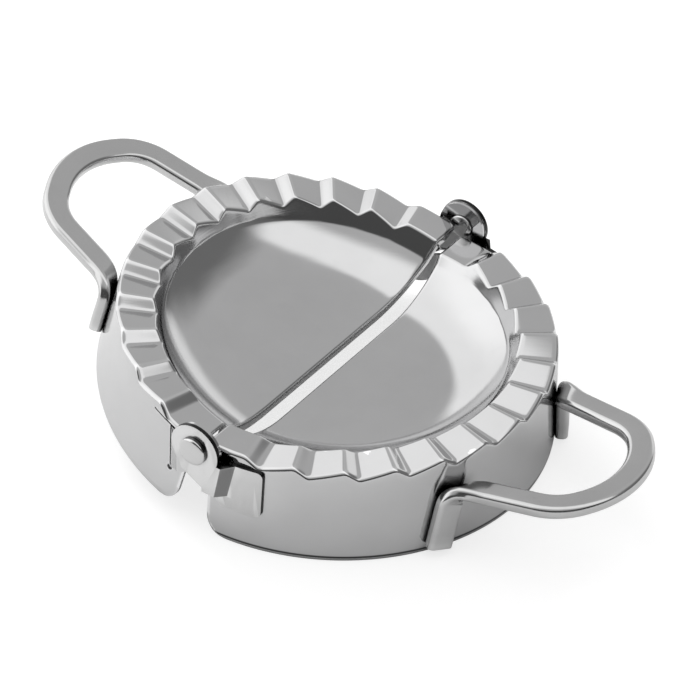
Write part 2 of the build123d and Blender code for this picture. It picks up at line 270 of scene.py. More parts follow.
sweep = math.asin((half["creaseRadius"] - half["floorRadius"]) / half["bowlBend"])
creaseHeight = half["bowlHeight"] + half["bowlBend"] * (1 - math.cos(sweep))
wallRun = (half["rimInner"] - half["creaseRadius"]) / (half["rimHeight"] - creaseHeight)
upWall = Vector((wallRun, 1)).normalized()


def upperProfile():
    # Rows of (radius, height, share of the flutes' motion, radius gained per height)
    level = half["rimHeight"]
    rows = [(half["floorRadius"] - 1.0 * mm, half["bowlHeight"])]  # one row on the floor itself
    bendEnd = sweep - half["creaseBlend"] / half["bowlBend"]
    for step in range(half["bendSteps"] + 1):
        angle = bendEnd * step / half["bendSteps"]
        rows.append((
            half["floorRadius"] + half["bowlBend"] * math.sin(angle),
            half["bowlHeight"] + half["bowlBend"] * (1 - math.cos(angle)),
        ))
    crease = Vector((half["creaseRadius"], creaseHeight))
    start = Vector(rows[-1])
    end = crease + upWall * half["creaseBlend"]
    for step in range(1, half["creaseSteps"] + 1):
        share = step / half["creaseSteps"]
        rows.append(tuple(start.lerp(crease, share).lerp(crease.lerp(end, share), share)))
    rim = filletedLine(
        [rows[-1], (half["rimInner"], level), (skirtAt(level), level), (skirtAt(0), 0)],
        [half["edgeRounding"]] * 2, half["roundingSteps"], half["rimStep"],
    )
    # The rows stop where the rim's outer rounding meets the skirt
    rounded = half["edgeRounding"] * math.tan((math.pi / 2 - math.atan(half["skirtSlope"])) / 2)
    lowest = level - rounded - 0.02 * mm
    inside = skirtAt(level) - 2 * half["edgeRounding"]
    rows += [tuple(point) for point in rim[1:] if point[1] > lowest or point[0] < inside]
    fullFrom = level - 0.6 * mm  # from this height up, points take the whole motion
    made = []
    for radius, height in rows:
        share = min(1.0, max(0.0, (height - creaseHeight) / (fullFrom - creaseHeight)))
        across = (radius - half["rimInner"]) / (skirtAt(level) - half["rimInner"])
        across = min(1.0, max(0.0, across))
        if radius < half["creaseRadius"]:
            share = 0.0
        if radius > half["rimInner"] + mm:
            share = 1.0
        made.append((radius, height, share, wallRun * (1 - across) - half["skirtSlope"] * across))
    return made


def lipEnds(rows):
    # Each row's point, the direction into the sheet there, and where the folded lip ends under it
    depth = half["lipDepth"]
    level = half["rimHeight"]
    made = []
    foot = Vector((half["creaseRadius"], creaseHeight)) + Vector((upWall.y, -upWall.x)) * depth
    corner = foot + upWall * ((level - depth - foot.y) / upWall.y)
    taperEnd = half["lipTaperFrom"] + half["lipTaper"]
    deepening = depth - half["lipDepthAtCorner"]
    for index, row in enumerate(rows):
        here = Vector(row[:2])
        before = Vector(rows[max(0, index - 1)][:2])
        after = Vector(rows[min(len(rows) - 1, index + 1)][:2])
        along = (after - before).normalized()
        inward = Vector((along.y, -along.x))
        near = skirtAt(level) - row[0]
        reach = depth
        if near < taperEnd:
            deeper = deepening * max(0, near - half["lipTaperFrom"]) / half["lipTaper"]
            reach = half["lipDepthAtCorner"] + deeper
        end = here + inward * reach
        # Under the wall and the rim the lip ends on one line and doesn't fold into itself
        if near > taperEnd and row[0] > half["creaseRadius"] + 0.5 * mm:
            if end.y > level - depth or row[0] > half["rimInner"]:
                end = Vector((max(row[0], corner.x), level - depth))
        made.append((here, inward, end))
    return made


def halfSurface(name, bottom, lined):
    # The outer face of a stamping as an open surface, with what the flutes and the steel need on each
    # point; only a lined half has the painted shade line above its cutting edge
    rows = upperProfile()
    ends = lipEnds(rows)
    points, turns, glides = [], [], []
    rims = {}
    fold = half["foldRounding"]
    foldRuns = (half["foldFrom"], half["skirtSetback"], fold)

    def add(x, y, z, turn, share, run):
        points.append((x, y, z))
        turns.append(turn)
        outward = Vector((x, y, 0)).normalized() if share else Vector()
        glides.append(outward * run * share + Vector((0, 0, share)))
        return len(points) - 1

    def foldPoints(index, side):
        # From the surface over the fold and down the lip
        radius, height, share, run = rows[index]
        here, inward, end = ends[index]
        made = []
        for x in foldRuns:
            across = math.sqrt(radius ** 2 - x ** 2)
            turn = side * (90 - math.degrees(x / radius))
            made.append(add(x, side * across, height, turn, share, run))
        base = Vector((math.sqrt(radius ** 2 - fold ** 2), height))
        for step in range(1, half["foldSteps"] + 1):
            angle = math.pi / 2 * step / half["foldSteps"]
            down = base + inward * fold * (1 - math.cos(angle))
            x = fold * (1 - math.sin(angle))
            made.append(add(x, side * down.x, down.y, side * 90, share, run))
        start = Vector((points[made[-1]][1] * side, points[made[-1]][2]))
        for step in range(1, half["lipSteps"] + 1):
            down = start.lerp(end, step / half["lipSteps"])
            made.append(add(0, side * down.x, down.y, side * 90, share, run))
        return made

    grid = []
    for index, (radius, height, share, run) in enumerate(rows):
        lower = foldPoints(index, -1)
        upper = foldPoints(index, 1)
        limit = math.acos(half["foldFrom"] / radius)
        line = []
        for step in range(1, half["stepsAround"]):
            angle = limit * (2 * step / half["stepsAround"] - 1)
            line.append(add(
                radius * math.cos(angle), radius * math.sin(angle), height, math.degrees(angle), share, run
            ))
        grid.append(lower[::-1] + line + upper)
    faces = []
    for inner, outer in zip(grid, grid[1:]):
        for step in range(len(inner) - 1):
            faces.append((inner[step], outer[step], outer[step + 1], inner[step + 1]))
    # Floor, and the fold across it
    foldCount = len(foldRuns) + half["foldSteps"] + half["lipSteps"]
    highFold = grid[0][-foldCount:]
    strips = [grid[0][:foldCount][::-1]]
    edge = math.sqrt(rows[0][0] ** 2 - half["foldFrom"] ** 2)
    for step in range(1, half["floorStrips"]):
        y = edge * (2 * step / half["floorStrips"] - 1)
        strips.append([add(points[index][0], y, points[index][2], 0, 0, 0) for index in highFold])
    strips.append(highFold)
    for before, after in zip(strips, strips[1:]):
        for step in range(foldCount - 1):
            faces.append((before[step], after[step], after[step + 1], before[step + 1]))
    faces.append(grid[0][foldCount - 1:-foldCount + 1] + [row[0] for row in strips[-2:0:-1]])
    # Skirt below the rim's outer rounding, from one setback to the other
    first = foldCount - 2
    line = grid[-1][first:-first]
    top = rows[-1][1]
    low = bottom + half["edgeProfile"][0][0]
    levels = half["skirtLevels"]
    heights = [(top + (low - top) * level / levels, 0) for level in range(1, levels)]
    heights += [(bottom + rise, depth) for rise, depth in half["edgeProfile"]]
    for height, depth in heights:
        row = []
        around = skirtAt(height) - depth
        for index in line:
            x, y, _ = points[index]
            scale = around / math.hypot(x, y)
            flat = half["skirtSetback"] if abs(x - half["skirtSetback"]) < tiny else x * scale
            across = math.copysign(math.sqrt(max(0, around ** 2 - flat ** 2)), y)
            share = max(0, (height - low) / (top - low))
            row.append(add(flat, across, height, turns[index], share, -half["skirtSlope"]))
            if lined:
                rims[row[-1]] = height - bottom
        for step in range(len(line) - 1):
            faces.append((line[step], row[step], row[step + 1], line[step + 1]))
        line = row
    mesh = meshFrom(name, points, faces)
    # Where in the turn a point lies, how high above the cutting edge, and whether it is past the crease
    marks = {
        "turn": turns,
        "cut": [rims.get(index, noCut) for index in range(len(points))],
        "outer": [float(math.hypot(x, y) > half["creaseRadius"]) for x, y, _ in points],
    }
    for label, values in marks.items():
        mesh.attributes.new(label, "FLOAT", "POINT").data.foreach_set("value", values)
    setVectors(mesh, "glide", glides)
    return mesh


# Saw-tooth flutes pressed into the rim
flutes = {
    "Flutes": 13,
    "Pitch": 12.8,  # degrees
    "Riser": 3.5,  # degrees
    "Depth": 1.9 * mm,
    "Softness": 0.7 * mm,
}


def fluteTree():
    # Slides the rim's points up and down along their own faces, by a softened saw-tooth
    tree, source = shapeTree("fluteRim", [
        ("Flutes", "Int"), ("Pitch", "Float"), ("Riser", "Float"), ("Depth", "Float"), ("Softness", "Float"),
    ])
    get = source.outputs

    def do(operation, a, b=0.0, c=0.0):
        return calc(tree, operation, a, b, c)

    turn = named(tree, "turn")
    # The nearest riser, and how far past it the point lies
    last = do("SUBTRACT", get["Flutes"], 1.0)
    first = do("MULTIPLY", do("MULTIPLY", last, -0.5), get["Pitch"])
    count = do("ROUND", do("DIVIDE", do("SUBTRACT", turn, first), get["Pitch"]))
    count = do("MINIMUM", do("MAXIMUM", count, 0.0), last)
    past = do("SUBTRACT", turn, do("MULTIPLY_ADD", count, get["Pitch"], first))
    # Height of the ramp before it, of the ramp after it and of the riser itself
    ramp = do("DIVIDE", get["Depth"], do("SUBTRACT", get["Pitch"], get["Riser"]))
    halfRiser = do("MULTIPLY", get["Riser"], 0.5)
    halfDepth = do("MULTIPLY", get["Depth"], 0.5)
    notFirst = do("GREATER_THAN", count, 0.5)
    notLast = do("LESS_THAN", count, do("SUBTRACT", last, 0.5))
    climb = do("MULTIPLY", do("ADD", past, halfRiser), do("MULTIPLY", ramp, notFirst))
    before = do("ADD", climb, halfDepth)
    climb = do("MULTIPLY", do("SUBTRACT", past, halfRiser), do("MULTIPLY", ramp, notLast))
    after = do("SUBTRACT", climb, halfDepth)
    drop = do("DIVIDE", do("MULTIPLY", do("MULTIPLY", past, -1.0), get["Depth"]), get["Riser"])
    height = do("SMOOTH_MIN", before, drop, get["Softness"])
    height = do("SMOOTH_MAX", height, after, get["Softness"])
    shift = vectorCalc(tree, "SCALE", named(tree, "glide", "FLOAT_VECTOR"), height)
    moved = addNode(tree, "GeometryNodeSetPosition", {"Geometry": get["Geometry"], "Offset": shift})
    return endTree(tree, source, moved.outputs[0])


# The flat strip that each handle is bent from
strip = {
    "Width": 5.7 * mm,
    "Thickness": 2.9 * mm,
    "Corner": 1.1 * mm,
    "Corner Steps": 5,
    "height": 15.7 * mm,  # where the loop's plane meets the skirt
    "shoulderHalf": 15.5 * mm,  # half the loop's width at its shoulders
    "root": 49.8 * mm,  # where the loop ends and the bends to the weld tabs start
    "rootHalf": 18.1 * mm,
    "shoulderBend": 11.5 * mm,
    "tipBend": 19.0 * mm,
    "weldAngle": 26.5,  # degrees round the skirt
    "weldSplay": 2.5,
    "weldTop": 12.4 * mm,
    "bendReach": 4.4 * mm,  # how far the bend to the weld tab is drawn in and down
    "bendDrop": 2.2 * mm,
    "loopBendSteps": 24,
    "loopStep": 1.2 * mm,
    "bendSteps": 16,
    "weldSteps": 6,
    "right": {"rise": 0.14, "tipCorner": 77.2 * mm, "shoulder": 65.9 * mm, "weldBottom": 2.0 * mm},
    "left": {"rise": 0.08, "tipCorner": 73.6 * mm, "shoulder": 64.8 * mm, "weldBottom": 5.4 * mm},
}


def weldPoint(side, angle, height):
    outward = Vector((math.cos(math.radians(angle)), side * math.sin(math.radians(angle)), 0))
    return outward * (skirtAt(height) + strip["Thickness"] / 2) + Vector((0, 0, height)), outward


def handlePath(own):
    # Middle of the strip from one weld tab to the other, and the direction out of its upper face
    slope = math.hypot(1, own["rise"])
    along = Vector((1, 0, own["rise"])) / slope
    up = Vector((-own["rise"], 0, 1)) / slope
    base = Vector((0, 0, strip["height"] - own["rise"] * half["skirtRadius"]))
    corners = [
        (strip["root"], -strip["rootHalf"]), (own["shoulder"], -strip["shoulderHalf"]),
        (own["tipCorner"], 0), (own["shoulder"], strip["shoulderHalf"]), (strip["root"], strip["rootHalf"]),
    ]
    radii = [strip["shoulderBend"], strip["tipBend"], strip["shoulderBend"]]
    corners = [Vector((x, y, 0)) for x, y in corners]
    flat = filletedLine(corners, radii, strip["loopBendSteps"], strip["loopStep"])
    loop = [base + along * point.x + Vector((0, point.y, 0)) for point in flat]
    ends = {}
    for side, root, inward in ((-1, loop[0], loop[0] - loop[1]), (1, loop[-1], loop[-1] - loop[-2])):
        inward = inward.normalized()
        top, outward = weldPoint(side, strip["weldAngle"], strip["weldTop"])
        foot, footOutward = weldPoint(side, strip["weldAngle"] + strip["weldSplay"], own["weldBottom"])
        down = (foot - top).normalized()
        pulls = (root, root + inward * strip["bendReach"], top - down * strip["bendDrop"], top)
        leg = []
        for step in range(1, strip["bendSteps"] + 1):
            share = step / strip["bendSteps"]
            line = list(pulls)
            while len(line) > 1:
                line = [a.lerp(b, share) for a, b in zip(line, line[1:])]
            leg.append((line[0], up * (1 - share) - outward * share))
        steps = strip["weldSteps"]
        leg += [(top.lerp(foot, step / steps), -footOutward) for step in range(1, steps + 1)]
        ends[side] = leg
    path = ends[-1][::-1] + [(point, up) for point in loop] + ends[1]
    made = []
    for index, (point, upper) in enumerate(path):
        before = path[max(0, index - 1)][0]
        after = path[min(len(path) - 1, index + 1)][0]
        tangent = (after - before).normalized()
        made.append((point, (upper - tangent * upper.dot(tangent)).normalized()))
    return made


def stripTree():
    # A strip with rounded edges, swept along a line of points that carry the direction of its upper face
    tree, source = shapeTree("bentStrip", [
        ("Width", "Float"), ("Thickness", "Float"), ("Corner", "Float"), ("Corner Steps", "Int"),
    ])
    get = source.outputs
    curve = addNode(tree, "GeometryNodeMeshToCurve", {0: get["Geometry"]}).outputs[0]
    turned = addNode(tree, "GeometryNodeSetCurveNormal", {"Curve": curve}, mode="FREE")
    tree.links.new(named(tree, "upper", "FLOAT_VECTOR"), turned.inputs["Normal"])
    block = addNode(tree, "GeometryNodeCurvePrimitiveQuadrilateral", {
        "Width": get["Thickness"], "Height": get["Width"],
    }, mode="RECTANGLE").outputs[0]
    rounded = addNode(tree, "GeometryNodeFilletCurve", {"Curve": block, "Radius": get["Corner"]}, mode="POLY")
    tree.links.new(get["Corner Steps"], rounded.inputs["Count"])
    swept = addNode(tree, "GeometryNodeCurveToMesh", {
        "Curve": turned.outputs[0], "Profile Curve": rounded.outputs[0], "Fill Caps": True,
    })
    return endTree(tree, source, swept.outputs[0])


# Materials

def materialTree(name):
    material = bpy.data.materials.new(name)
    material.use_nodes = True
    tree = material.node_tree
    tree.nodes.clear()
    output = tree.nodes.new("ShaderNodeOutputMaterial")
    shader = tree.nodes.new("ShaderNodeBsdfPrincipled")
    tree.links.new(shader.outputs[0], output.inputs[0])
    return material, tree, shader


def shaderGroup(name, inputs, outputs):
    tree = bpy.data.node_groups.new(name, "ShaderNodeTree")
    for label, kind in inputs:
        tree.interface.new_socket(label, in_out="INPUT", socket_type="NodeSocket" + kind)
    for label, kind in outputs:
        tree.interface.new_socket(label, in_out="OUTPUT", socket_type="NodeSocket" + kind)
    return tree, addNode(tree, "NodeGroupInput").outputs


def noiseAt(tree, where, scale, detail=2.0, roughness=0.5):
    return addNode(tree, "ShaderNodeTexNoise", {
        "Vector": where, "Scale": scale, "Detail": detail, "Roughness": roughness,
    }).outputs[0]


def ranged(tree, value, low, high, toLow, toHigh, kind="SMOOTHSTEP"):
    return addNode(tree, "ShaderNodeMapRange", {
        "Value": value, "From Min": low, "From Max": high, "To Min": toLow, "To Max": toHigh,
    }, interpolation_type=kind).outputs[0]


# What every steel here shares: patterns by their scale, and the limits between which each mask fades
handledAndShaded = {
    "cloudScale": 55.0,
    "smearScale": 170.0,
    "smearShare": 0.3,
    "markScale": 240.0,
    "markFrom": 0.56,
    "markTo": 0.74,
    "waveScale": 70.0,
    "waveHeight": 1.0 * mm,
    "hairHeight": 0.05 * mm,
    "creviceShadeReach": 3 * mm,
    "creviceShadeOpen": 0.82,
    "creviceShadeDeep": 0.18,
    "edgeFrom": 0.508,
    "edgeTo": 0.56,
    # How the polish moves the tone and the roughness
    "polishLow": 0.3,
    "polishHigh": 0.7,
    "toneLow": 0.96,
    "toneHigh": 1.03,
    "roughnessLow": 0.8,
    "roughnessHigh": 1.25,
    "shadeLineCore": 0.15 * mm,
    "shadeLineFade": 0.45 * mm,
}


def handledAndShadedMetal():
    # Soft clouds of polish and finger marks, hairline scratches, uneven sheet, painted shade in crevices and
    # painted highlights on sharp edges
    tree, get = shaderGroup("handledAndShadedMetal", [
        ("Coordinates", "Vector"), ("Stretch", "Vector"), ("Wave", "Float"), ("Hairline", "Float"),
    ], [
        ("Polish", "Float"), ("Marks", "Float"), ("PaintedShade", "Float"), ("Edge", "Float"),
        ("Normal", "Vector"),
    ])
    where = get["Coordinates"]
    cloud = noiseAt(tree, where, handledAndShaded["cloudScale"], detail=3.0)
    smear = noiseAt(tree, where, handledAndShaded["smearScale"], detail=4.0, roughness=0.6)
    smear = calc(tree, "MULTIPLY", smear, handledAndShaded["smearShare"])
    polish = calc(tree, "MULTIPLY_ADD", cloud, 1 - handledAndShaded["smearShare"], smear)
    marks = noiseAt(tree, where, handledAndShaded["markScale"], detail=5.0, roughness=0.7)
    marks = ranged(tree, marks, handledAndShaded["markFrom"], handledAndShaded["markTo"], 0.0, 1.0)
    along = vectorCalc(tree, "MULTIPLY", where, get["Stretch"])
    hair = noiseAt(tree, along, 1.0, detail=3.0, roughness=0.6)
    wave = noiseAt(tree, where, handledAndShaded["waveScale"], detail=1.0)
    uneven = addNode(tree, "ShaderNodeBump", {
        "Height": wave, "Distance": handledAndShaded["waveHeight"], "Strength": get["Wave"],
    }).outputs[0]
    fine = addNode(tree, "ShaderNodeBump", {
        "Height": hair, "Distance": handledAndShaded["hairHeight"], "Strength": get["Hairline"], "Normal": uneven,
    }).outputs[0]
    # Painted shade: darker where ambient occlusion finds the surface closed in
    openness = addNode(tree, "ShaderNodeAmbientOcclusion", {"Distance": handledAndShaded["creviceShadeReach"]}, samples=6)
    creviceShade = ranged(tree, openness.outputs["AO"], handledAndShaded["creviceShadeDeep"], handledAndShaded["creviceShadeOpen"], 1.0, 0.0)
    # Painted highlight: lighter tone on sharp edges, found by pointiness
    sharp = addNode(tree, "ShaderNodeNewGeometry").outputs["Pointiness"]
    edge = ranged(tree, sharp, handledAndShaded["edgeFrom"], handledAndShaded["edgeTo"], 0.0, 1.0)
    addNode(tree, "NodeGroupOutput", {0: polish, 1: marks, 2: creviceShade, 3: edge, 4: fine})
    return tree


metalGroup = handledAndShadedMetal()


def steel(name, look):
    material, tree, shader = materialTree(name)
    get = addNode(tree, "ShaderNodeGroup", {
        "Coordinates": addNode(tree, "ShaderNodeTexCoord").outputs["Object"],
        "Stretch": look["stretch"], "Wave": look["wave"], "Hairline": look["hairline"],
    }, node_tree=metalGroup).outputs

    def byPolish(value, low, high):
        return ranged(tree, get["Polish"], handledAndShaded["polishLow"], handledAndShaded["polishHigh"],
                      value * handledAndShaded[low], value * handledAndShaded[high], "LINEAR")

    def mask(label):
        return addNode(tree, "ShaderNodeAttribute", attribute_name=label).outputs["Fac"]

    tone = byPolish(look["tone"], "toneLow", "toneHigh")
    tone = calc(tree, "MULTIPLY_ADD", get["Marks"], -look["marks"], tone)
    # Painted highlight on sharp edges, only where the look's mask allows it
    edge = get["Edge"]
    if "edgeHighlightBy" in look:
        edge = calc(tree, "MULTIPLY", edge, mask(look["edgeHighlightBy"]))
    tone = calc(tree, "MULTIPLY_ADD", edge, look["edgeHighlight"], tone)
    # Painted shade in crevices
    paintedDark = calc(tree, "MULTIPLY", get["PaintedShade"], look["creviceShade"])
    if "edgeFaceShade" in look:
        # Painted shade: cut edges and the offset bend of a plate that lies in X and Z, darkened by how far
        # they face along Y, for the dark they mirror
        facing = addNode(tree, "ShaderNodeTexCoord").outputs["Normal"]
        facing = calc(tree, "ABSOLUTE", addNode(tree, "ShaderNodeSeparateXYZ", {0: facing}).outputs["Y"])
        for (low, high), shade in ((look["edgeFaces"], look["edgeFaceShade"]), (look["bendFaces"], look["bend"])):
            paintedDark = calc(tree, "MAXIMUM", paintedDark, ranged(tree, facing, low, high, shade, 0.0))
    if "shadeLine" in look:
        # A painted shade line at this height above the cutting edge, for the dark floor mirrored at the
        # skirt's foot
        away = calc(tree, "ABSOLUTE", calc(tree, "SUBTRACT", mask("cut"), look["shadeLine"]))
        line = ranged(tree, away, handledAndShaded["shadeLineCore"], handledAndShaded["shadeLineFade"], look["shadeLineDark"], 0.0)
        paintedDark = calc(tree, "MAXIMUM", paintedDark, line)
    tone = calc(tree, "MULTIPLY", tone, calc(tree, "SUBTRACT", 1.0, paintedDark))
    blue = calc(tree, "MULTIPLY", tone, look["cool"])
    colour = addNode(tree, "ShaderNodeCombineColor", {0: tone, 1: tone, 2: blue})
    rough = byPolish(look["roughness"], "roughnessLow", "roughnessHigh")
    rough = calc(tree, "MULTIPLY_ADD", get["Marks"], look["marks"], rough)
    shader.inputs["Metallic"].default_value = 1.0
    tree.links.new(colour.outputs[0], shader.inputs["Base Color"])
    tree.links.new(rough, shader.inputs["Roughness"])
    tree.links.new(get["Normal"], shader.inputs["Normal"])
    return material


shadeLineHeight = 1.0 * mm  # value of "cut" at which the steel has its painted shade line
# Tone and roughness are the middle of their range, and the rest says how strong each mark is: handling marks,
# painted shade, painted highlights on edges and the painted shade line
pressedSteel = steel("pressedSteel", {
    "tone": 0.63, "cool": 1.005, "roughness": 0.095, "stretch": (90, 90, 2600), "wave": 0.02,
    "hairline": 0.08, "marks": 0.012, "edgeHighlight": 0.24, "edgeHighlightBy": "outer", "creviceShade": 0.75,
    "shadeLine": shadeLineHeight, "shadeLineDark": 0.9,
})
stripSteel = steel("stripSteel", {
    "tone": 0.58, "cool": 1.0, "roughness": 0.15, "stretch": (300, 1400, 1400), "wave": 0.02,
    "hairline": 0.15, "marks": 0.03, "edgeHighlight": 0.15, "creviceShade": 0.8,
})
hingeSteel = steel("hingeSteel", {
    "tone": 0.62, "cool": 1.0, "roughness": 0.16, "stretch": (200, 200, 3000), "wave": 0.02,
    "hairline": 0.2, "marks": 0.03, "edgeHighlight": 0.15, "creviceShade": 0.85, "edgeFaceShade": 0.95, "bend": 0.55,
    "edgeFaces": (0.25, 0.5), "bendFaces": (0.84, 0.9),
})
rivetSteel = steel("rivetSteel", {
    "tone": 0.66, "cool": 1.0, "roughness": 0.1, "stretch": (900, 900, 900), "wave": 0.01,
    "hairline": 0.05, "marks": 0.02, "edgeHighlight": 0.1, "creviceShade": 0.9, "shadeLine": shadeLineHeight, "shadeLineDark": 0.85,
})
print("materials made")


# Hinge: tabs cut from the left skirt, ear plates welded on the right one, and two rivets
hinge = {
    "tabRadius": 5.6 * mm,
    "tabHole": 1.85 * mm,
    "tabFace": 48.5 * mm,  # outer face of the tab, from the middle of the press
    "tabBend": 6.3 * mm,  # bend line at bendHeight, from the half's straight edge
    "tabRounding": 1.5 * mm,
    "tabStart": 180 + math.degrees(math.atan(0.75)),  # where the tab's round end starts
    "bendHeight": 15.0 * mm,
    "bendLean": 0.3,
    "joggle": 3.4 * mm,  # length of the offset bend
    "tabRoot": 5.0 * mm,  # how far the tab is drawn into the skirt
    "slit": 10.2 * mm,  # height of the cut under the tab
    "slitRise": 2.6 * mm,
    "slitWidth": 0.28 * mm,
    "slitHole": 0.65 * mm,
    "relief": 20.2 * mm,  # height of the cut over the tab
    "earBevel": 0.13 * mm,
    "footFrom": 12.5 * mm,  # past this the ear plate's foot is moved in
    "footShorter": 0.7 * mm,
    "earFace": 49.5 * mm,
    "headRadius": 3.1 * mm,
    "headHeight": 1.5 * mm,
    "headDome": 0.45,  # share of the head's height that is domed
    "headEdge": 0.12 * mm,
    "tailRadius": 2.7 * mm,
    "tailHeight": 0.7 * mm,
    "tailDome": 0.5,
    "tailFace": 47.7 * mm,
    "rivetEdge": 0.1 * mm,
    "shankRadius": 1.8 * mm,
    "rivetSides": 64,
    "domeSteps": 12,
    "tailSteps": 8,
    "tabSteps": 48,
    "tabBendSteps": 6,
}


def bendLine(height):
    return hinge["tabBend"] + hinge["bendLean"] * (height - hinge["bendHeight"])


def thickened(line, depth):
    # Outline of a sheet whose outer face runs along the line, depth thick to its right
    inner = []
    for index, point in enumerate(line):
        before = line[max(0, index - 1)]
        after = line[min(len(line) - 1, index + 1)]
        first = (point - before).normalized() if index else (after - point).normalized()
        last = (after - point).normalized() if index < len(line) - 1 else first
        across = Vector((first.y + last.y, -first.x - last.x)).normalized()
        mitre = max(0.5, across.dot(Vector((first.y, -first.x))))  # at most twice the depth at a sharp turn
        inner.append(point + across * depth / mitre)
    return [tuple(point) for point in line + inner[::-1]]


def tabSheet(side, height):
    # Outline of the tab at a height: along the skirt, over the offset bend, then straight past the rivet
    bend = bendLine(height)
    root = bend + hinge["tabRoot"]
    bite = half["sheet"] / 10
    corners = []
    for share in (0, 0.25, 0.5, 0.75, 1):
        x = root * (1 - share) + bend * share
        corners.append(Vector((x, math.sqrt((skirtAt(height) - bite) ** 2 - x ** 2))))
    corners.append(Vector((bend - hinge["joggle"], hinge["tabFace"])))
    corners.append(Vector((-half["axisOffset"] - 2 * hinge["tabRadius"], hinge["tabFace"])))
    undivided = 60 * mm  # longer than any straight stretch here
    bends = [hinge["tabRounding"]] * 2
    line = corners[:4] + filletedLine(corners[3:], bends, hinge["tabBendSteps"], undivided)[1:]
    return [(x, side * y) for x, y in thickened(line, -half["sheet"])]


def tabOutline():
    low = hinge["slit"] + hinge["slitWidth"]
    centre = (-half["axisOffset"], hingeHeight)
    right = math.degrees(math.asin((hingeHeight - hinge["relief"]) / hinge["tabRadius"]))
    root = bendLine(low) + hinge["tabRoot"]
    outline = [(root, low), (bendLine(low), low), (half["skirtSetback"], low + hinge["slitRise"])]
    outline += arc(centre, hinge["tabRadius"], hinge["tabStart"], -right, hinge["tabSteps"])
    return outline + [(root, hinge["relief"])]


def cutTabs(shell):
    # Windows, slits and the hole at each slit's end, then the tabs themselves
    slit = hinge["slit"]
    rise = slit + hinge["slitRise"]
    relief = hinge["relief"]
    top = relief + hinge["slitWidth"]
    root = bendLine(top) + hinge["tabRoot"]
    window = [
        (bendLine(slit), slit), (half["skirtSetback"], rise), (-overrun, rise), (-overrun, top),
        (root, top), (root, relief), (bendLine(relief), relief),
    ]
    low = slit - overrun
    high = hingeHeight + hinge["tabRadius"] + overrun
    helpers = []
    tabs = []
    for side in (-1, 1):
        ends = sorted((side * half["rimInner"], side * (half["skirtRadius"] + overrun)))
        helpers.append(prism("window", window, *ends))
        helpers.append(prism("slitEnd", circle((bendLine(slit), slit), hinge["slitHole"], 24), *ends))
        tabs.append((side, ends))
    for helper in helpers:
        boolean(shell, helper)
    for side, ends in tabs:
        sheets = [[(x, y, z) for x, y in tabSheet(side, z)] for z in (low, high)]
        tab = joinedEnds("tab", *sheets)
        outline = prism("tabOutline", tabOutline(), *ends)
        hole = prism("tabHole", circle((-half["axisOffset"], hingeHeight), hinge["tabHole"], 36), *ends)
        boolean(tab, outline, "INTERSECT")
        boolean(tab, hole)
        settle(tab)
        helpers += [outline, hole, tab]
        boolean(shell, tab, "UNION")
    settle(shell)
    for helper in helpers:
        bpy.data.objects.remove(helper)


def latheRivet(name, side):
    # Head with a low dome, shank and closed tail, turned about the hinge line
    headRadius, tailRadius = hinge["headRadius"], hinge["tailRadius"]
    earFace, tailFace = hinge["earFace"], hinge["tailFace"]
    dome = hinge["headHeight"] * hinge["headDome"]
    rim = earFace + hinge["headHeight"] - dome
    tailDome = hinge["tailHeight"] * hinge["tailDome"]
    tailRim = tailFace - hinge["tailHeight"] + tailDome
    profile = []
    for step in range(hinge["domeSteps"] + 1):
        angle = step / hinge["domeSteps"] * math.pi / 2
        profile.append((headRadius * math.sin(angle), rim + dome * math.cos(angle)))
    profile += [
        (headRadius, rim - hinge["rivetEdge"]),
        (headRadius, earFace + hinge["headEdge"]), (headRadius - hinge["headEdge"], earFace),
        (hinge["shankRadius"], earFace), (hinge["shankRadius"], tailFace),
        (tailRadius - hinge["rivetEdge"], tailFace), (tailRadius, tailFace - hinge["rivetEdge"]),
    ]
    for step in range(hinge["tailSteps"] + 1):
        angle = (1 - step / hinge["tailSteps"]) * math.pi / 2
        profile.append((tailRadius * math.sin(angle), tailRim - tailDome * math.cos(angle)))
    form = bmesh.new()
    sides = hinge["rivetSides"]
    rings = []
    for radius, out in profile:
        if radius < tiny:
            rings.append([form.verts.new((0, side * out, hingeHeight))])
            continue
        rings.append([form.verts.new((
            radius * math.cos(2 * math.pi * step / sides), side * out,
            hingeHeight + radius * math.sin(2 * math.pi * step / sides),
        )) for step in range(sides)])
    for first, last in zip(rings, rings[1:]):
        for step in range(sides):
            after = (step + 1) % sides
            corners = [first[step % len(first)], first[after % len(first)]]
            corners += [last[after % len(last)], last[step % len(last)]]
            form.faces.new(list(dict.fromkeys(corners)))  # a triangle where a ring is one point
    rivet = closedPiece(name, form)
    smoothShaded(rivet.data, sharpAbove=40)
    # The side of the head takes the halves' painted shade line, for the shade under the head
    line = rivet.data.attributes.new("cut", "FLOAT", "POINT")
    slack = 0.01 * mm
    for index, corner in enumerate(rivet.data.vertices):
        out = abs(corner.co.y) - earFace
        onSide = -slack < out < hinge["headHeight"] - dome - slack
        line.data[index].value = shadeLineHeight if onSide else noCut
    return rivet


# Pieces

def cutCorners(shell, bottom):
    # Rounds the two lower corners of the skirt's free edges
    radius = half["skirtCorner"]
    corner = half["skirtSetback"] + radius
    rounding = arc((corner, bottom + radius), radius, 270, 180, half["cornerSteps"])
    outline = [(corner, bottom - overrun)] + rounding
    outline += [(-overrun, bottom + radius), (-overrun, bottom - overrun)]
    wide = 60 * mm  # past the skirt at both ends
    cutter = prism("cornerCut", outline, -wide, wide)
    boolean(shell, cutter)
    settle(shell)
    bpy.data.objects.remove(cutter)


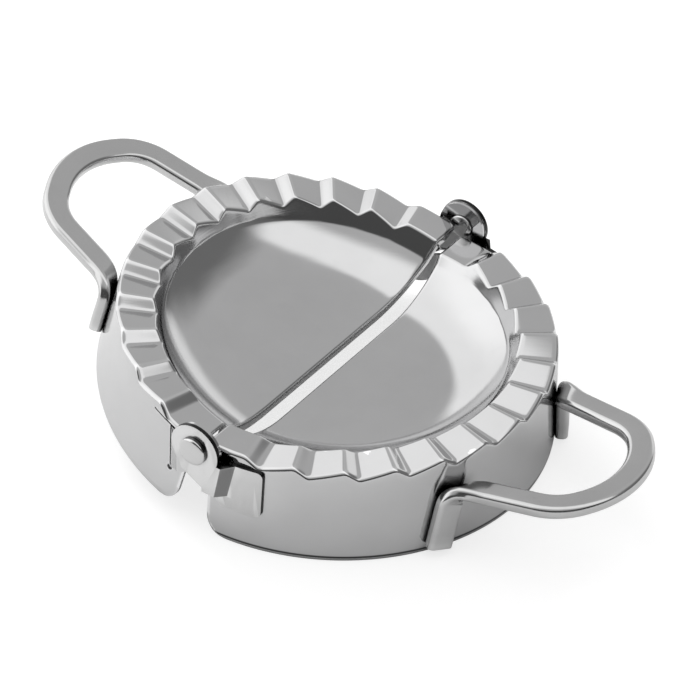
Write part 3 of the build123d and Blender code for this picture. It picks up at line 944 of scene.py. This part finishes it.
def makeShell(side, tree):
    bottom = half["leftSkirtShort"] if side == "left" else 0.0
    shell = newPiece(side + "Shell", halfSurface(side + "Shell", bottom, side == "right"))
    useTree(shell, tree, flutes | {"Material": pressedSteel})
    wall = shell.modifiers.new("sheet", "SOLIDIFY")
    wall.thickness = half["sheet"]
    wall.offset = -1
    wall.use_even_offset = True
    wall.use_quality_normals = True
    settle(shell)
    for corner in shell.data.vertices:
        corner.co.z = max(corner.co.z, bottom)  # the bevel's wall would dip below the cutting edge
    cutCorners(shell, bottom)
    if side == "left":
        cutTabs(shell)
    smoothShaded(shell.data, sharpAbove=50)
    shell.data.transform(place(side))
    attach(shell, side + "_half")
    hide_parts(side + "_shell")


def makeHandle(side, tree):
    path = handlePath(strip[side])
    move = place(side)
    turn = move.to_3x3()
    mesh = meshFrom(side + "Handle", [move @ point for point, _ in path], edges=[
        (step, step + 1) for step in range(len(path) - 1)
    ])
    setVectors(mesh, "upper", [turn @ upper for _, upper in path])
    handle = newPiece(side + "Handle", mesh)
    useTree(handle, tree, strip | {"Material": stripSteel})
    settle(handle)
    smoothShaded(handle.data, sharpAbove=50)
    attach(handle, side + "_half")
    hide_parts(side + "_handle")


def makeHinge(end, side):
    # Ear plate from the drawn one with its edges broken, and the rivet that holds it
    drawn = frame["nodes"][end + "_ear_plate"]
    mesh = drawn.data.copy()
    form = bmesh.new()
    form.from_mesh(mesh)
    bmesh.ops.remove_doubles(form, verts=form.verts, dist=0.002 * mm)
    bmesh.ops.dissolve_limit(form, angle_limit=math.radians(0.4), verts=form.verts, edges=form.edges)
    for corner in form.verts:
        if corner.co.x > hinge["footFrom"]:
            # The foot slides round the skirt and keeps its distance from the axis
            around = math.hypot(corner.co.x - half["axisOffset"], corner.co.y)
            corner.co.x -= hinge["footShorter"]
            across = math.sqrt(around ** 2 - (corner.co.x - half["axisOffset"]) ** 2)
            corner.co.y = math.copysign(across, corner.co.y)
    form.to_mesh(mesh)
    form.free()
    mesh.materials.clear()
    mesh.materials.append(hingeSteel)
    plate = newPiece(end + "EarPlate", mesh)
    plate.matrix_world = drawn.matrix_world.copy()
    bevel = plate.modifiers.new("brokenEdge", "BEVEL")
    bevel.width = hinge["earBevel"]
    bevel.segments = 2
    bevel.limit_method = "ANGLE"
    bevel.angle_limit = math.radians(50)
    settle(plate)
    plate.data.transform(plate.matrix_world)
    plate.matrix_world = Matrix()
    smoothShaded(plate.data, sharpAbove=35)
    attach(plate, "right_half")
    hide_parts(end + "_ear_plate")
    rivet = latheRivet(end + "Rivet", side)
    rivet.data.materials.append(rivetSteel)
    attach(rivet, "right_half")
    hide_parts(end + "_rivet")


fluteRim = fluteTree()
bentStrip = stripTree()
for side in ("right", "left"):
    makeShell(side, fluteRim)
    makeHandle(side, bentStrip)
    print(side, "half made")
makeHinge("near", -1)
makeHinge("far", 1)
print("hinge made")


# Camera: the angle, distance and lens that the press is seen from
view = {
    "azimuth": 33.5,
    "elevation": 38.27,
    "roll": 2.8,
    "distance": 692 * mm,
    "focus": 3266.0,  # in widths of one picture element
    "frame": 700.0,  # picture elements across
    "sensor": 36,
    "targetHeight": 20 * mm,
    "shiftRight": 3.06 * mm,
    "shiftUp": -2.03 * mm,
}


def makeCamera():
    azimuth = math.radians(view["azimuth"])
    elevation = math.radians(view["elevation"])
    roll = math.radians(view["roll"])
    level = Vector((math.sin(azimuth), -math.cos(azimuth), 0))
    back = level * math.cos(elevation) + Vector((0, 0, math.sin(elevation)))
    right = Vector((math.cos(azimuth), math.sin(azimuth), 0))
    up = back.cross(right)
    target = Vector((0, 0, view["targetHeight"])) + right * view["shiftRight"] + up * view["shiftUp"]
    data = bpy.data.cameras.new("camera")
    data.sensor_width = view["sensor"]
    data.lens = view["focus"] / view["frame"] * data.sensor_width
    data.clip_start = 0.01
    data.clip_end = 20
    camera = bpy.data.objects.new("camera", data)
    bpy.context.scene.collection.objects.link(camera)
    xAxis = right * math.cos(roll) + up * math.sin(roll)
    yAxis = up * math.cos(roll) - right * math.sin(roll)
    turned = Matrix((xAxis, yAxis, back)).transposed().to_4x4()
    camera.matrix_world = Matrix.Translation(target + back * view["distance"]) @ turned
    bpy.context.scene.camera = camera


makeCamera()


# Soft studio round the press: each lobe is a direction, where it fades in and out, and its brightness
studio = {
    "dark": 0.17,
    "drift": 0.1,
    "driftScale": 2.6,
    "arch": {"towards": (-0.16, 0.3, 1.0), "from": 0.24, "to": 0.46, "value": 1.17},
    "back": {"towards": (0.2, 0.93, 0.3), "from": 0.51, "to": 0.59, "value": 0.48},
    "front": {"towards": (0.3, -0.95, 0.0), "from": 0.3, "to": 0.5, "value": 0.5},
    "left": {"towards": (-0.87, -0.38, 0.31), "from": 0.66, "to": 0.88, "value": 1.4},
    "corner": {"towards": (0.76, 0.63, 0.16), "from": 0.74, "to": 0.92, "value": 0.2},
    "horizon": {"towards": (-0.1, 0.99, 0.08), "from": 0.94, "to": 0.985, "value": 1.0},
    "below": {"towards": (0.0, 0.0, -1.0), "from": 0.0, "to": 0.06, "value": 0.7},
}


def makeWorld():
    world = bpy.data.worlds.new("studio")
    bpy.context.scene.world = world
    world.use_nodes = True
    tree = world.node_tree
    tree.nodes.clear()
    output = tree.nodes.new("ShaderNodeOutputWorld")
    shader = tree.nodes.new("ShaderNodeBackground")
    tree.links.new(shader.outputs[0], output.inputs[0])
    where = addNode(tree, "ShaderNodeTexCoord").outputs["Generated"]
    # The edges of the lobes wander a little, as in a real room
    uneven = addNode(tree, "ShaderNodeTexNoise", {
        "Vector": where, "Scale": studio["driftScale"], "Detail": 2.0,
    }).outputs["Color"]
    uneven = vectorCalc(tree, "SUBTRACT", uneven, (0.5, 0.5, 0.5))
    where = vectorCalc(tree, "ADD", where, vectorCalc(tree, "SCALE", uneven, studio["drift"]))

    def lobe(name):
        own = studio[name]
        facing = addNode(tree, "ShaderNodeVectorMath", {0: where, 1: own["towards"]}, operation="DOT_PRODUCT")
        return ranged(tree, facing.outputs["Value"], own["from"], own["to"], 0.0, 1.0)

    def blend(below, name, value):
        share = lobe(name)
        kept = calc(tree, "MULTIPLY", below, calc(tree, "SUBTRACT", 1.0, share))
        return calc(tree, "ADD", kept, calc(tree, "MULTIPLY", share, value))

    # The back and the front dim what is there, and the others put their own brightness in its place
    tone = blend(studio["dark"], "arch", studio["arch"]["value"])
    for name in ("back", "front"):
        tone = blend(tone, name, calc(tree, "MULTIPLY", tone, studio[name]["value"]))
    for name in ("left", "corner", "horizon", "below"):
        tone = blend(tone, name, studio[name]["value"])
    grey = addNode(tree, "ShaderNodeCombineColor", {0: tone, 1: tone, 2: tone}).outputs[0]
    tree.links.new(grey, shader.inputs[0])
    shader.inputs[1].default_value = 1.0


# Pale floor: the camera and mirrors see it lit up to the background's tone, and it keeps the shadow
floorLook = {
    "reach": 3.0,
    "tone": 0.8,
    "toneSeen": 0.38,
    "liftSeen": 0.74,
    "liftMirrored": 0.05,
}


def makeFloor():
    reach = floorLook["reach"]
    corners = [(-reach, -reach, 0), (reach, -reach, 0), (reach, reach, 0), (-reach, reach, 0)]
    mesh = meshFrom("floor", corners, [(0, 1, 2, 3)])
    floor = newPiece("floor", mesh)
    material, tree, shader = materialTree("paleFloor")
    shader.inputs["Roughness"].default_value = 0.9
    shader.inputs["Specular IOR Level"].default_value = 0.0
    shader.inputs["Emission Color"].default_value = (1, 1, 1, 1)
    paths = addNode(tree, "ShaderNodeLightPath").outputs
    seen = paths["Is Camera Ray"]
    mirrored = calc(tree, "MAXIMUM", paths["Is Glossy Ray"], paths["Is Transmission Ray"])
    mirrored = calc(tree, "MULTIPLY", mirrored, floorLook["liftMirrored"])
    lift = calc(tree, "MULTIPLY_ADD", seen, floorLook["liftSeen"], mirrored)
    tree.links.new(lift, shader.inputs["Emission Strength"])
    pale = calc(tree, "MULTIPLY_ADD", seen, floorLook["toneSeen"] - floorLook["tone"], floorLook["tone"])
    colour = addNode(tree, "ShaderNodeCombineColor", {0: pale, 1: pale, 2: pale}).outputs[0]
    tree.links.new(colour, shader.inputs["Base Color"])
    mesh.materials.append(material)


# One soft lamp, which casts the shadow and isn't mirrored in the steel
key = {
    "where": (-0.3, 0.12, 0.22),
    "aim": (0, 0, 0.02),
    "size": (0.2, 0.2),
    "power": 0.8,
}


def makeLamp(name, look):
    data = bpy.data.lights.new(name, "AREA")
    data.shape = "RECTANGLE"
    data.size, data.size_y = look["size"]
    data.energy = look["power"]
    lamp = bpy.data.objects.new(name, data)
    bpy.context.scene.collection.objects.link(lamp)
    lamp.location = look["where"]
    lamp.rotation_euler = (Vector(look["aim"]) - Vector(look["where"])).to_track_quat("-Z", "Y").to_euler()
    lamp.visible_glossy = False


makeWorld()
makeFloor()
makeLamp("key", key)
bpy.context.scene.view_settings.view_transform = "Standard"
print("camera, floor and lamps made")
